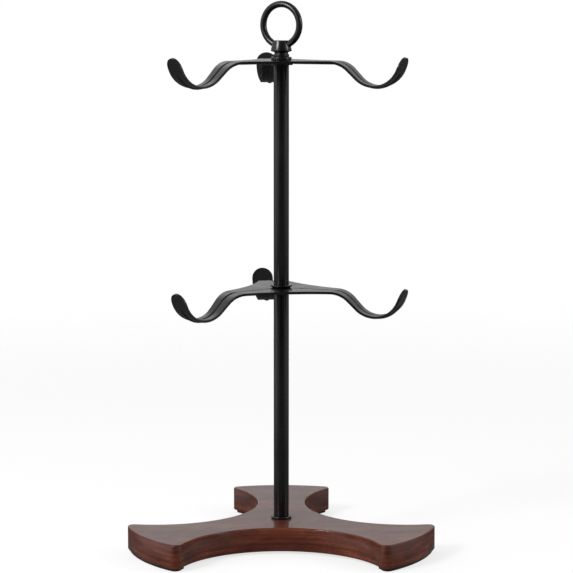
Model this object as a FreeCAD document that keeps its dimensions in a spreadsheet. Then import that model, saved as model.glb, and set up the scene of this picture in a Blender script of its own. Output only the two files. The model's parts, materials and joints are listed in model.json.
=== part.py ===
import FreeCAD, Part
import math
import os

import Sketcher

# Mug tree: a three-legged wooden base, a post of two steel tubes screwed together, and two
# stamped tiers of three hooked arms, clamped by a finial that carries a finger ring.
# Millimetres. +Z is up and the origin is on the surface it stands on, under the post's axis.
# One leg of the base points to +Y (the back), the other two to the front left and right.

os.makedirs("parts", exist_ok=True)
doc = FreeCAD.newDocument("mug_tree")

# ---------------------------------------------------------------- sizes

SIZES = [
    # base board: three legs left between three round bays cut from a disc
    ("leg_reach", "123.5", "post axis to the outer edge of a leg"),
    ("bay_radius", "80.2", "radius of the bay between two legs"),
    ("bay_offset", "115", "post axis to the centre of a bay"),
    ("leg_corner", "5", "corner radius at a leg's two tips"),
    ("board_thickness", "19", "thickness of the board"),
    ("board_top_round", "1.2", "rounding of the board's upper edge"),
    ("board_low_round", "1.2", "rounding of the board's lower edge"),
    ("bore_wide", "22", "diameter of the recess for the bolt head"),
    ("bore_deep", "7", "depth of that recess"),
    # foot pads
    ("pad_thickness", "2", "thickness of a foot pad"),
    ("pad_inset", "2", "pad's edge inside the board's edge"),
    ("pad_depth", "14", "pad's length along the leg"),
    ("pad_corner", "4", "corner radius of a pad"),
    # fasteners
    ("thread", "6", "thread diameter of bolt, stud and finial stem"),
    ("thread_gap", "0.02", "radial gap in a threaded bore"),
    ("hole_gap", "0.3", "radial gap in a clearance hole of board, collar, washer or flange"),
    ("head_flats", "10", "bolt head across flats"),
    ("head_height", "4", "bolt head height"),
    ("washer_wide", "18", "outer diameter of the washer under the base"),
    ("washer_thick", "1.6", "thickness of that washer"),
    ("thread_reach", "18", "thread length held in a plug"),
    # post
    ("collar_wide", "16.2", "diameter of the collar on the base"),
    ("collar_thick", "2", "thickness of the collar"),
    ("tube_wide", "12", "outer diameter of the post's tubes"),
    ("tube_wall", "1.2", "wall of the tubes"),
    ("lower_length", "180", "length of the lower tube"),
    ("upper_length", "172", "length of the upper tube"),
    ("plug_gap", "0.02", "radial gap between plug and tube"),
    ("plug_length", "22", "length of a plug inside its tube"),
    ("rim_thick", "1", "rim of the lower tube's top plug"),
    ("pivot_wide", "9", "diameter of the spigot a tier turns on"),
    ("pivot_gap", "0.05", "radial running gap between spigot and tier"),
    ("turning_gap", "0.1", "axial gap above and below a tier"),
    ("edge_break", "0.4", "edge break on washers, collar and flanges"),
    # flanges and washer beside the tiers
    ("lower_flange_wide", "17.5", "flange on the lower tier"),
    ("lower_flange_thick", "2.2", "its thickness"),
    ("flange_foot_wide", "13.8", "where its tapered underside meets the tier"),
    ("flange_rim", "1", "height of its straight rim"),
    ("under_wide", "18", "washer under the upper tier"),
    ("under_thick", "1.6", "its thickness"),
    ("upper_flange_wide", "16", "flange on the upper tier"),
    ("upper_flange_thick", "2.5", "its thickness"),
    # tiers
    ("plate", "2", "thickness of the stamped tier"),
    ("arm_wide", "14", "width of an arm where it is narrowest, at its hook"),
    ("web_reach", "28", "post axis to the edge of the web between two arms"),
    ("arm_level", "44.1", "level run of an arm from the post axis"),
    ("shoulder_bend", "20", "radius of the downward bend"),
    ("shoulder_angle", "44.5", "angle of the downward bend"),
    ("slope_run", "9", "straight slope after the bend"),
    ("hook_bend", "21.2", "radius of the hook's bottom"),
    ("tip_angle", "67.5", "rise of the hook's tip above the level"),
    ("tip_run", "10", "length of the straight tip"),
    ("tip_wide", "17", "width of the rounded tip"),
    ("flare_run", "16", "length over which the hook widens to the tip"),
    ("bead_radius", "1.4", "radius of the bead pressed along an arm"),
    ("bead_lift", "0.6", "bead's centre above the face it is pressed into"),
    ("bead_start", "10.5", "post axis to the start of the bead"),
    ("bead_angle", "55", "rise of the hook where the bead ends"),
    ("lower_turn", "9", "turn of the lower tier from the legs"),
    ("upper_turn", "6.9", "turn of the upper tier from the legs"),
    # finial and ring
    ("stem_length", "22", "threaded stem below the finial"),
    ("knob_foot_wide", "12.2", "finial's round foot"),
    ("knob_foot_tall", "2.2", "its height"),
    ("neck_wide", "10.6", "finial's neck"),
    ("neck_tall", "1.3", "its height"),
    ("cone_wide", "16.2", "finial's cone at its widest"),
    ("cone_under", "1", "height of the bevel under the cone"),
    ("cone_band", "0.7", "height of the cone's widest band"),
    ("cone_top_wide", "13.4", "cone at its top"),
    ("cone_tall", "7.5", "height of the cone above the band"),
    ("ring_radius", "16.05", "ring's centre line"),
    ("ring_wire", "5.1", "wire diameter of the ring"),
    ("ring_lift", "12", "ring's centre above the top of the cone"),
    ("ring_gap", "14", "degrees left between the ring's two ends"),
    ("ring_turn", "-30", "direction of the ring about the post"),
    # sizes that follow from the ones above
    ("board_low", "=pad_thickness", "underside of the board"),
    ("board_top", "=board_low + board_thickness", "top of the board"),
    ("seat_level", "=board_low + bore_deep", "roof of the bolt's recess"),
    ("head_top", "=seat_level - washer_thick", "underside of the base washer"),
    ("head_low", "=head_top - head_height", "underside of the bolt head"),
    ("bolt_tip", "=board_top + collar_thick + thread_reach", "end of the bolt"),
    ("foot_level", "=board_top + collar_thick", "foot of the lower tube"),
    ("lower_top", "=foot_level + lower_length", "end of the lower tube"),
    ("rim_top", "=lower_top + rim_thick", "top of its plug's rim"),
    ("lower_plate", "=rim_top + turning_gap", "underside of the lower tier"),
    ("lower_seat", "=lower_plate + plate + turning_gap", "end of the lower spigot"),
    ("middle_level", "=lower_seat + lower_flange_thick", "foot of the upper tube"),
    ("rim_low", "=middle_level - flange_rim", "foot of the lower flange's rim"),
    ("upper_top", "=middle_level + upper_length", "end of the upper tube"),
    ("under_top", "=upper_top + under_thick", "top of the washer on the upper tube"),
    ("upper_plate", "=under_top + turning_gap", "underside of the upper tier"),
    ("upper_seat", "=upper_plate + plate + turning_gap", "end of the upper spigot"),
    ("knob_level", "=upper_seat + upper_flange_thick", "foot of the finial"),
    ("foot_plug_top", "=foot_level + plug_length", "top of the lower tube's foot plug"),
    ("foot_bore_top", "=bolt_tip + 1", "end of its bore"),
    ("top_plug_low", "=lower_top - plug_length", "foot of the lower tube's top plug"),
    ("stud_low", "=lower_top - thread_reach", "foot of the joining stud"),
    ("stud_top", "=middle_level + thread_reach", "top of the joining stud"),
    ("top_bore_low", "=stud_low - 1", "foot of the bore around the stud"),
    ("middle_plug_top", "=middle_level + plug_length", "top of the upper tube's foot plug"),
    ("middle_bore_top", "=stud_top + 1", "end of its bore"),
    ("upper_plug_low", "=upper_top - plug_length", "foot of the upper tube's top plug"),
    ("stem_low", "=knob_level - stem_length", "end of the finial's stem"),
    ("stem_bore_low", "=stem_low - 1", "foot of the bore around the stem"),
    ("neck_low", "=knob_level + knob_foot_tall", "foot of the finial's neck"),
    ("cone_low", "=neck_low + neck_tall", "foot of the cone's bevel"),
    ("band_low", "=cone_low + cone_under", "foot of the cone's band"),
    ("band_top", "=band_low + cone_band", "top of the cone's band"),
    ("cone_top", "=band_top + cone_tall", "top of the cone"),
    ("ring_level", "=cone_top + ring_lift", "centre of the ring"),
    ("tube_r", "=tube_wide / 2", "outer radius of the tubes"),
    ("bore_r", "=tube_r - tube_wall", "inner radius of the tubes"),
    ("plug_r", "=bore_r - plug_gap", "radius of a plug"),
    ("thread_r", "=thread / 2", "radius of the thread"),
    ("tapped_r", "=thread_r + thread_gap", "radius of a threaded bore"),
    ("hole_r", "=thread_r + hole_gap", "radius of a clearance hole"),
    ("bolt_hole", "=hole_r * 2", "diameter of a clearance hole"),
    ("pivot_r", "=pivot_wide / 2", "radius of a spigot"),
    ("under_hole_r", "=pivot_r + pivot_gap", "hole in the washer on the upper tube"),
    ("washer_r", "=washer_wide / 2", ""),
    ("collar_r", "=collar_wide / 2", ""),
    ("lower_flange_r", "=lower_flange_wide / 2", ""),
    ("flange_foot_r", "=flange_foot_wide / 2", ""),
    ("under_r", "=under_wide / 2", ""),
    ("upper_flange_r", "=upper_flange_wide / 2", ""),
    ("knob_foot_r", "=knob_foot_wide / 2", ""),
    ("neck_r", "=neck_wide / 2", ""),
    ("cone_r", "=cone_wide / 2", ""),
    ("cone_top_r", "=cone_top_wide / 2", ""),
    ("bay_x", "=bay_offset * cos(30 deg)", "centre of the two side bays"),
    ("bay_y", "=bay_offset * sin(30 deg)", "and their distance behind the axis"),
    ("bay_left_x", "=0 - bay_x", "and the left one"),
    ("bay_front", "=0 - bay_offset", "centre of the front bay"),
    ("pad_reach", "=leg_reach - pad_inset", "outer edge of a pad"),
    ("pad_heel", "=pad_reach - pad_depth", "inner edge of a pad"),
    ("pad_bay", "=bay_radius + pad_inset", "radius of a pad's sides"),
]

sheet = doc.addObject("Spreadsheet::Sheet", "Sizes")
for row, (alias, value, note) in enumerate(SIZES, 1):
    sheet.set("A%d" % row, alias)
    sheet.set("B%d" % row, value)
    sheet.setAlias("B%d" % row, alias)
    sheet.set("C%d" % row, note)
doc.recompute()


def size(alias):
    """The number a named size stands at."""
    return float(sheet.get(alias))


def bind(thing, prop, alias):
    """Ties one property of a document object to a named size."""
    thing.setExpression(prop, "Sizes." + alias)


# ---------------------------------------------------------------- helpers

NODES = []
VERTICAL = FreeCAD.Vector(0, 0, 1)


def node(thing, label):
    """Keeps a finished piece under the name its file gets."""
    thing.Label = label
    NODES.append(thing)
    return thing


def new_body(label):
    body = doc.addObject("PartDesign::Body", label + "_body")
    return node(body, label)


def new_sketch(body, name, role):
    """A sketch on one of the body's own origin planes."""
    sketch = body.newObject("Sketcher::SketchObject", name)
    plane = [f for f in body.Origin.OriginFeatures if f.Role == role][0]
    sketch.AttachmentSupport = (plane, [""])
    sketch.MapMode = "FlatFace"
    return sketch


def place_point(sketch, geo, pos, across, up):
    """Holds a sketch point at two named sizes; None stands for the axis."""
    for kind, axis, alias in (("DistanceX", -2, across), ("DistanceY", -1, up)):
        if alias is None:
            sketch.addConstraint(Sketcher.Constraint("PointOnObject", geo, pos, axis))
            continue
        held = Sketcher.Constraint(kind, -1, 1, geo, pos, size(alias))
        index = sketch.addConstraint(held)
        bind(sketch, "Constraints[%d]" % index, alias)


def outline(sketch, corners):
    """A closed outline of straight lines through corners given as pairs of named sizes."""
    spots = [FreeCAD.Vector(size(x) if x else 0, size(z) if z else 0, 0) for x, z in corners]
    count = len(spots)
    for i in range(count):
        sketch.addGeometry(Part.LineSegment(spots[i], spots[(i + 1) % count]), False)
    for i in range(count):
        sketch.addConstraint(Sketcher.Constraint("Coincident", i, 2, (i + 1) % count, 1))
    for i, (x, z) in enumerate(corners):
        place_point(sketch, i, 1, x, z)


def turned(label, corners):
    """A lathe-turned piece: its half section, spun about the post's axis."""
    body = new_body(label)
    sketch = new_sketch(body, label + "_section", "XZ_Plane")
    outline(sketch, corners)
    spin = body.newObject("PartDesign::Revolution", label + "_turned")
    spin.Profile = sketch
    spin.ReferenceAxis = (sketch, ["V_Axis"])
    spin.Angle = 360
    doc.recompute()
    return body


def dress(body, kind, name, alias, wanted):
    """Rounds or bevels the edges of a body that pass a test."""
    shape = body.Shape
    edges = ["Edge%d" % (i + 1) for i, edge in enumerate(shape.Edges) if wanted(edge)]
    feature = body.newObject("PartDesign::" + kind, name)
    feature.Base = (body.Tip if body.Tip != feature else feature.BaseFeature, edges)
    bind(feature, "Radius" if kind == "Fillet" else "Size", alias)
    doc.recompute()
    return feature


def outer_rim(radius, levels):
    """Picks the round edges of one radius that lie at the given heights."""
    def wanted(edge):
        curve = edge.Curve
        if not isinstance(curve, Part.Circle) or abs(curve.Radius - radius) > 1e-4:
            return False
        return min(abs(curve.Center.z - level) for level in levels) < 1e-4
    return wanted


def at_level(level, reach=0.0):
    """Picks the edges that lie flat at one height, further out than reach."""
    def wanted(edge):
        box = edge.BoundBox
        far = math.hypot(edge.valueAt(edge.FirstParameter).x, edge.valueAt(edge.FirstParameter).y)
        return abs(box.ZMin - level) < 1e-4 and abs(box.ZMax - level) < 1e-4 and far > reach
    return wanted


def turned_ring(label, hole, radius, low, top):
    """A flat turned ring, such as a washer, with its outer edges broken."""
    body = turned(label, [(hole, low), (radius, low), (radius, top), (hole, top)])
    rims = outer_rim(size(radius), (size(low), size(top)))
    dress(body, "Chamfer", label + "_edges", "edge_break", rims)
    return body


def polar(radius, degrees, height=0.0):
    turn = math.radians(degrees)
    return FreeCAD.Vector(radius * math.cos(turn), radius * math.sin(turn), height)


# ---------------------------------------------------------------- base board

LEG_ANGLES = (90, 210, 330)
LEG_NAMES = ("back", "left", "right")


def bay_opening(reach, radius):
    """Half the angle a bay takes out of the circle of that reach, in degrees."""
    offset = size("bay_offset")
    cosine = (reach ** 2 + offset ** 2 - radius ** 2) / (2 * reach * offset)
    return math.degrees(math.acos(cosine))


def arc(centre, start, end):
    """The arc about centre that runs anticlockwise from start to end."""
    first = start - centre
    last = end - centre
    circle = Part.Circle(centre, VERTICAL, first.Length)
    return Part.ArcOfCircle(circle, math.atan2(first.y, first.x), math.atan2(last.y, last.x))


def build_board():
    body = new_body("base_board")
    sketch = new_sketch(body, "board_outline", "XY_Plane")
    bind(sketch, "AttachmentOffset.Base.z", "board_low")
    reach = size("leg_reach")
    half = bay_opening(reach, size("bay_radius"))
    origin = FreeCAD.Vector(0, 0, 0)
    for leg in LEG_ANGLES:
        bay = leg + 60
        start = polar(reach, leg - 60 + half)
        end = polar(reach, bay - half)
        sketch.addGeometry(arc(origin, start, end), False)
        centre = polar(size("bay_offset"), bay)
        sketch.addGeometry(arc(centre, polar(reach, bay + half), end), False)
    # geometry 0, 2, 4 are the legs' outer arcs and 1, 3, 5 the bays, in turn
    for i in (0, 2, 4):
        sketch.addConstraint(Sketcher.Constraint("Coincident", i, 2, i + 1, 2))
        sketch.addConstraint(Sketcher.Constraint("Coincident", i + 1, 1, (i + 2) % 6, 1))
        sketch.addConstraint(Sketcher.Constraint("Coincident", i, 3, -1, 1))
    for i, alias in ((0, "leg_reach"), (1, "bay_radius")):
        index = sketch.addConstraint(Sketcher.Constraint("Radius", i, size(alias)))
        bind(sketch, "Constraints[%d]" % index, alias)
        sketch.addConstraint(Sketcher.Constraint("Equal", i, i + 2))
        sketch.addConstraint(Sketcher.Constraint("Equal", i, i + 4))
    place_point(sketch, 3, 3, None, "bay_front")
    place_point(sketch, 5, 3, "bay_x", "bay_y")
    place_point(sketch, 1, 3, "bay_left_x", "bay_y")
    pad = body.newObject("PartDesign::Pad", "board_blank")
    pad.Profile = sketch
    bind(pad, "Length", "board_thickness")
    doc.recompute()

    def leg_tip(edge):
        box = edge.BoundBox
        far = math.hypot(box.Center.x, box.Center.y)
        return box.ZLength > size("board_thickness") / 2 and far > reach - 1e-3
    dress(body, "Fillet", "leg_corners", "leg_corner", leg_tip)
    dress(body, "Fillet", "board_top_edge", "board_top_round", at_level(size("board_top")))
    dress(body, "Fillet", "board_low_edge", "board_low_round", at_level(size("board_low")))
    for name, wide, deep in (("bolt_way", "bolt_hole", None), ("bolt_recess", "bore_wide", "bore_deep")):
        ring = new_sketch(body, name + "_outline", "XY_Plane")
        bind(ring, "AttachmentOffset.Base.z", "board_low")
        ring.addGeometry(Part.Circle(origin, VERTICAL, size(wide) / 2), False)
        ring.addConstraint(Sketcher.Constraint("Coincident", 0, 3, -1, 1))
        index = ring.addConstraint(Sketcher.Constraint("Diameter", 0, size(wide)))
        bind(ring, "Constraints[%d]" % index, wide)
        before = body.Shape.Volume
        cut = body.newObject("PartDesign::Pocket", name)
        cut.Profile = ring
        cut.Reversed = True
        cut.Type = "Length"
        bind(cut, "Length", deep or "board_thickness")
        doc.recompute()
        if body.Shape.Volume > before - 1:
            raise RuntimeError(name + " cut nothing")
    return body


def build_pad(name, turn):
    """A foot pad that follows the tip of its leg, drawn on the back leg and turned into place."""
    body = new_body("foot_pad_" + name)
    sketch = new_sketch(body, name + "_pad_outline", "XY_Plane")
    origin = FreeCAD.Vector(0, 0, 0)
    outer, heel, side = size("pad_reach"), size("pad_heel"), size("pad_bay")
    right = FreeCAD.Vector(size("bay_x"), size("bay_y"), 0)
    left = FreeCAD.Vector(-size("bay_x"), size("bay_y"), 0)
    wide = bay_opening(outer, side)
    slim = bay_opening(heel, side)
    outer_right, outer_left = polar(outer, 30 + wide), polar(outer, 150 - wide)
    heel_right, heel_left = polar(heel, 30 + slim), polar(heel, 150 - slim)
    sketch.addGeometry(arc(origin, outer_right, outer_left), False)
    sketch.addGeometry(arc(left, heel_left, outer_left), False)
    sketch.addGeometry(arc(origin, heel_right, heel_left), False)
    sketch.addGeometry(arc(right, outer_right, heel_right), False)
    for one, two in (((0, 2), (1, 2)), ((1, 1), (2, 2)), ((2, 1), (3, 2)), ((3, 1), (0, 1))):
        sketch.addConstraint(Sketcher.Constraint("Coincident", *one, *two))
    for i in (0, 2):
        sketch.addConstraint(Sketcher.Constraint("Coincident", i, 3, -1, 1))
    for i, alias in ((0, "pad_reach"), (2, "pad_heel"), (1, "pad_bay"), (3, "pad_bay")):
        index = sketch.addConstraint(Sketcher.Constraint("Radius", i, size(alias)))
        bind(sketch, "Constraints[%d]" % index, alias)
    place_point(sketch, 3, 3, "bay_x", "bay_y")
    place_point(sketch, 1, 3, "bay_left_x", "bay_y")
    pad = body.newObject("PartDesign::Pad", name + "_pad_blank")
    pad.Profile = sketch
    bind(pad, "Length", "pad_thickness")
    doc.recompute()
    dress(body, "Fillet", name + "_pad_corners", "pad_corner",
          lambda edge: edge.BoundBox.ZLength > size("pad_thickness") / 2)
    body.Placement = FreeCAD.Placement(origin, FreeCAD.Rotation(VERTICAL, turn))
    return body


def build_bolt():
    """Hex bolt that holds the post to the base from below."""
    head = doc.addObject("Part::Prism", "bolt_head")
    head.Polygon = 6
    head.setExpression("Circumradius", "Sizes.head_flats / sqrt(3)")
    bind(head, "Height", "head_height")
    bind(head, "Placement.Base.z", "head_low")
    shank = doc.addObject("Part::Cylinder", "bolt_shank")
    bind(shank, "Radius", "thread_r")
    shank.setExpression("Height", "Sizes.bolt_tip - Sizes.head_top + Sizes.head_height / 2")
    shank.setExpression("Placement.Base.z", "Sizes.head_top - Sizes.head_height / 2")
    whole = doc.addObject("Part::MultiFuse", "bolt_whole")
    whole.Shapes = [head, shank]
    doc.recompute()
    tip = doc.addObject("Part::Chamfer", "bolt_bevel")
    tip.Base = whole
    picks = [i + 1 for i, edge in enumerate(whole.Shape.Edges)
             if outer_rim(size("thread_r"), (size("bolt_tip"),))(edge)]
    tip.Edges = [(i, 2 * size("edge_break"), 2 * size("edge_break")) for i in picks]
    return node(tip, "base_bolt")


# ---------------------------------------------------------------- tiers

def arm_course(lift):
    """The side view of an arm, as the curve that runs lift above its middle.

    Returns the curve's pieces in turn: level, downward bend, slope, hook, straight tip."""
    down = math.radians(size("shoulder_angle"))
    rise = math.radians(size("tip_angle"))
    level, bend, hook = size("arm_level"), size("shoulder_bend"), size("hook_bend")

    def spot(x, z):
        return FreeCAD.Vector(x, 0, z)

    def normal(heading):
        return spot(-math.sin(heading), math.cos(heading))

    bend_centre = spot(level, -bend)
    slope_start = bend_centre + normal(-down) * bend
    slope_end = slope_start + spot(math.cos(down), -math.sin(down)) * size("slope_run")
    hook_centre = slope_end + normal(-down) * hook

    def on_bend(heading):
        return bend_centre + normal(heading) * (bend + lift)

    def on_hook(heading):
        return hook_centre - normal(heading) * (hook - lift)

    tip_end = on_hook(rise) + spot(math.cos(rise), math.sin(rise)) * size("tip_run")
    return {"start": spot(0, lift), "on_bend": on_bend, "on_hook": on_hook,
            "down": down, "rise": rise, "tip_end": tip_end}


def arm_edges(lift, first, last):
    """Edges of that curve from the distance first to the heading last on the hook."""
    course = arm_course(lift)
    down = course["down"]
    start = FreeCAD.Vector(first, 0, lift)
    bend, hook = course["on_bend"], course["on_hook"]
    return [Part.makeLine(start, bend(0)),
            Part.Arc(bend(0), bend(-down / 2), bend(-down)).toShape(),
            Part.makeLine(bend(-down), hook(-down)),
            Part.Arc(hook(-down), hook((last - down) / 2), hook(last)).toShape()]


def arm_strip():
    """The bent strip of one arm, wide enough to be trimmed to the tier's outline."""
    half = size("plate") / 2
    rise = math.radians(size("tip_angle"))
    over, under = arm_edges(half, 0, rise), arm_edges(-half, 0, rise)
    ends = [(e.Vertexes[0].Point, e.Vertexes[-1].Point) for e in (over[0], under[0], over[-1], under[-1])]
    inner = Part.makeLine(ends[0][0], ends[1][0])
    outer = Part.makeLine(ends[2][1], ends[3][1])
    face = Part.Face(Part.Wire(Part.__sortEdges__(over + under + [inner, outer])))
    spread = size("web_reach")
    face.translate(FreeCAD.Vector(0, -spread, 0))
    return face.extrude(FreeCAD.Vector(0, 2 * spread, 0))


def arm_tip():
    """The rounded end of a hook, flat and in line with the hook's rise."""
    half, thick = size("tip_wide") / 2, size("plate")
    run = size("tip_run")
    straight = run - half
    points = [FreeCAD.Vector(0, -half, 0), FreeCAD.Vector(straight, -half, 0),
              FreeCAD.Vector(run, 0, 0), FreeCAD.Vector(straight, half, 0), FreeCAD.Vector(0, half, 0)]
    edges = [Part.makeLine(points[0], points[1]),
             Part.Arc(points[1], points[2], points[3]).toShape(),
             Part.makeLine(points[3], points[4]),
             Part.makeLine(points[4], points[0])]
    blade = Part.Face(Part.Wire(edges)).extrude(FreeCAD.Vector(0, 0, thick))
    blade.translate(FreeCAD.Vector(0, 0, -thick / 2))
    course = arm_course(0)
    blade.Placement = FreeCAD.Placement(
        course["on_hook"](course["rise"]),
        FreeCAD.Rotation(FreeCAD.Vector(0, 1, 0), -size("tip_angle"))).multiply(blade.Placement)
    return blade


def tier_outline():
    """The tier seen from above: three straps joined by round webs, as a face."""
    half, tip = size("arm_wide") / 2, size("tip_wide") / 2
    web = size("web_reach")
    # the web's circle touches both straps' edges and passes the bisector at web_reach
    centre = (web - half) / (1 - math.sin(math.radians(60)))
    radius = centre - web
    touch = centre * math.cos(math.radians(60))
    far = arm_course(0)["on_hook"](math.radians(size("tip_angle"))).x
    past = far + size("plate")
    edges = []
    for leg in LEG_ANGLES:
        turn = FreeCAD.Rotation(VERTICAL, leg)

        def at(x, y):
            return turn.multVec(FreeCAD.Vector(x, y, 0))
        flare = far - size("flare_run")
        corners = [at(touch, -half), at(flare, -half), at(far, -tip), at(past, -tip),
                   at(past, tip), at(far, tip), at(flare, half), at(touch, half)]
        edges += [Part.makeLine(corners[i], corners[i + 1]) for i in range(len(corners) - 1)]
        middle = polar(web, leg + 60)
        after = FreeCAD.Rotation(VERTICAL, leg + 120).multVec(FreeCAD.Vector(touch, -half, 0))
        edges.append(Part.Arc(corners[-1], middle, after).toShape())
    if radius < half:
        raise RuntimeError("the web is too small for the arms")
    return Part.Face(Part.Wire(Part.__sortEdges__(edges)))


def bead(lift):
    """A round bar along one arm, for the pressed bead's hollow or its ridge."""
    radius = size("bead_radius")
    path = arm_edges(lift, size("bead_start"), math.radians(size("bead_angle")))
    start = path[0].Vertexes[0].Point
    end = path[-1].Vertexes[-1].Point
    section = Part.Wire(Part.makeCircle(radius, start, FreeCAD.Vector(1, 0, 0)))
    bar = Part.Wire(path).makePipeShell([section], True, True)
    return bar.fuse([Part.makeSphere(radius, start), Part.makeSphere(radius, end)])


def tier_shape(turn, level):
    """A whole stamped tier, its underside at level and its arms turned from the legs."""
    thick = size("plate")
    drop = size("shoulder_bend") + size("slope_run") + size("hook_bend") + thick
    prism = tier_outline().extrude(FreeCAD.Vector(0, 0, 3 * drop))
    prism.translate(FreeCAD.Vector(0, 0, -drop))
    strip, tip = arm_strip(), arm_tip()
    hollow = bead(thick / 2 + size("bead_lift"))
    ridge = bead(-thick / 2 + size("bead_lift"))
    origin = FreeCAD.Vector(0, 0, 0)

    def around(shape):
        copies = []
        for leg in LEG_ANGLES:
            copy = shape.copy()
            copy.rotate(origin, VERTICAL, leg)
            copies.append(copy)
        return copies
    strips = around(strip)
    plate = strips[0].fuse(strips[1:]).common(prism)
    plate = plate.fuse(around(tip) + around(ridge)).cut(around(hollow))
    hole = Part.makeCylinder(size("pivot_r") + size("pivot_gap"), 2 * thick, FreeCAD.Vector(0, 0, -thick))
    plate = plate.cut(hole).removeSplitter()
    plate.rotate(origin, VERTICAL, turn)
    plate.translate(FreeCAD.Vector(0, 0, level + thick / 2))
    return plate.Solids[0] if len(plate.Solids) == 1 else plate


def build_tier(label, turn, level):
    tier = doc.addObject("Part::Feature", label)
    tier.Shape = tier_shape(size(turn), size(level))
    return node(tier, label)


# ---------------------------------------------------------------- finial ring

def ring_torus(name):
    """The open ring, its gap at the bottom where both ends sit in the finial."""
    torus = doc.addObject("Part::Torus", name)
    bind(torus, "Radius1", "ring_radius")
    torus.setExpression("Radius2", "Sizes.ring_wire / 2")
    torus.setExpression("Angle3", "360 - Sizes.ring_gap")
    upright = FreeCAD.Rotation(FreeCAD.Vector(1, 0, 0), 90)
    open_down = FreeCAD.Rotation(VERTICAL, 270 + size("ring_gap") / 2)
    turn = FreeCAD.Rotation(VERTICAL, size("ring_turn"))
    spot = FreeCAD.Vector(0, 0, size("ring_level"))
    torus.Placement = FreeCAD.Placement(spot, turn.multiply(upright).multiply(open_down))
    return torus


# ---------------------------------------------------------------- the pieces

build_board()
for name, leg in zip(LEG_NAMES, LEG_ANGLES):
    build_pad(name, leg - 90)

build_bolt()
turned_ring("base_washer", "hole_r", "washer_r", "head_top", "seat_level")
turned_ring("base_collar", "hole_r", "collar_r", "board_top", "foot_level")

turned("lower_tube", [("bore_r", "foot_level"), ("tube_r", "foot_level"),
                      ("tube_r", "lower_top"), ("bore_r", "lower_top")])
turned("lower_tube_foot_plug", [("tapped_r", "foot_level"), ("plug_r", "foot_level"),
                                ("plug_r", "foot_plug_top"), (None, "foot_plug_top"),
                                (None, "foot_bore_top"), ("tapped_r", "foot_bore_top")])
turned("lower_tube_top_plug", [(None, "top_plug_low"), ("plug_r", "top_plug_low"),
                               ("plug_r", "lower_top"), ("tube_r", "lower_top"),
                               ("tube_r", "rim_top"), ("pivot_r", "rim_top"),
                               ("pivot_r", "lower_seat"), ("tapped_r", "lower_seat"),
                               ("tapped_r", "top_bore_low"), (None, "top_bore_low")])
build_tier("lower_tier", "lower_turn", "lower_plate")
turned("lower_tier_flange", [("hole_r", "lower_seat"), ("flange_foot_r", "lower_seat"),
                             ("lower_flange_r", "rim_low"), ("lower_flange_r", "middle_level"),
                             ("hole_r", "middle_level")])
turned("joining_stud", [(None, "stud_low"), ("thread_r", "stud_low"),
                        ("thread_r", "stud_top"), (None, "stud_top")])

turned("upper_tube", [("bore_r", "middle_level"), ("tube_r", "middle_level"),
                      ("tube_r", "upper_top"), ("bore_r", "upper_top")])
turned("upper_tube_foot_plug", [("tapped_r", "middle_level"), ("plug_r", "middle_level"),
                                ("plug_r", "middle_plug_top"), (None, "middle_plug_top"),
                                (None, "middle_bore_top"), ("tapped_r", "middle_bore_top")])
turned("upper_tube_top_plug", [(None, "upper_plug_low"), ("plug_r", "upper_plug_low"),
                               ("plug_r", "upper_top"), ("pivot_r", "upper_top"),
                               ("pivot_r", "upper_seat"), ("tapped_r", "upper_seat"),
                               ("tapped_r", "stem_bore_low"), (None, "stem_bore_low")])
turned_ring("upper_tier_washer", "under_hole_r", "under_r", "upper_top", "under_top")
build_tier("upper_tier", "upper_turn", "upper_plate")
turned_ring("upper_tier_flange", "hole_r", "upper_flange_r", "upper_seat", "knob_level")

knob = turned("finial", [(None, "stem_low"), ("thread_r", "stem_low"),
                         ("thread_r", "knob_level"), ("knob_foot_r", "knob_level"),
                         ("knob_foot_r", "neck_low"), ("neck_r", "neck_low"),
                         ("neck_r", "cone_low"), ("cone_r", "band_low"),
                         ("cone_r", "band_top"), ("cone_top_r", "cone_top"),
                         (None, "cone_top")])
NODES.remove(knob)
knob.Label = "finial_turned"
finial = doc.addObject("Part::Cut", "finial_cut")
finial.Base = knob
finial.Tool = ring_torus("ring_seat")
node(finial, "finial")
node(ring_torus("ring_wire"), "finial_ring")

# ---------------------------------------------------------------- check and write

doc.recompute()
for thing in doc.Objects:
    if "Invalid" in thing.State or "Error" in thing.State:
        raise RuntimeError("%s failed: %s" % (thing.Label, thing.State))
for piece in NODES:
    shape = piece.Shape
    if shape.isNull() or not shape.isValid() or len(shape.Solids) != 1:
        raise RuntimeError("%s is not one sound solid" % piece.Label)
for piece in NODES:
    piece.Shape.exportStep("parts/%s.step" % piece.Label)
    box = piece.Shape.BoundBox
    print("%-22s %8.2f cm3  z %7.2f to %7.2f" % (piece.Label, piece.Shape.Volume / 1000, box.ZMin, box.ZMax))
print(len(NODES), "nodes")
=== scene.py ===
# %% [markdown]
# # A mug tree, dressed around its measured frame
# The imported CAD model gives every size, place and joint. This lesson keeps that frame
# and makes the pieces that show: a lacquered board, a black post, two pressed tiers of
# hooks, a turned finial and its ring. Run the cells from top to bottom.

# %% Load the frame
import json
import math

import bmesh
import bpy
from mathutils import Matrix, Vector


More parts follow.
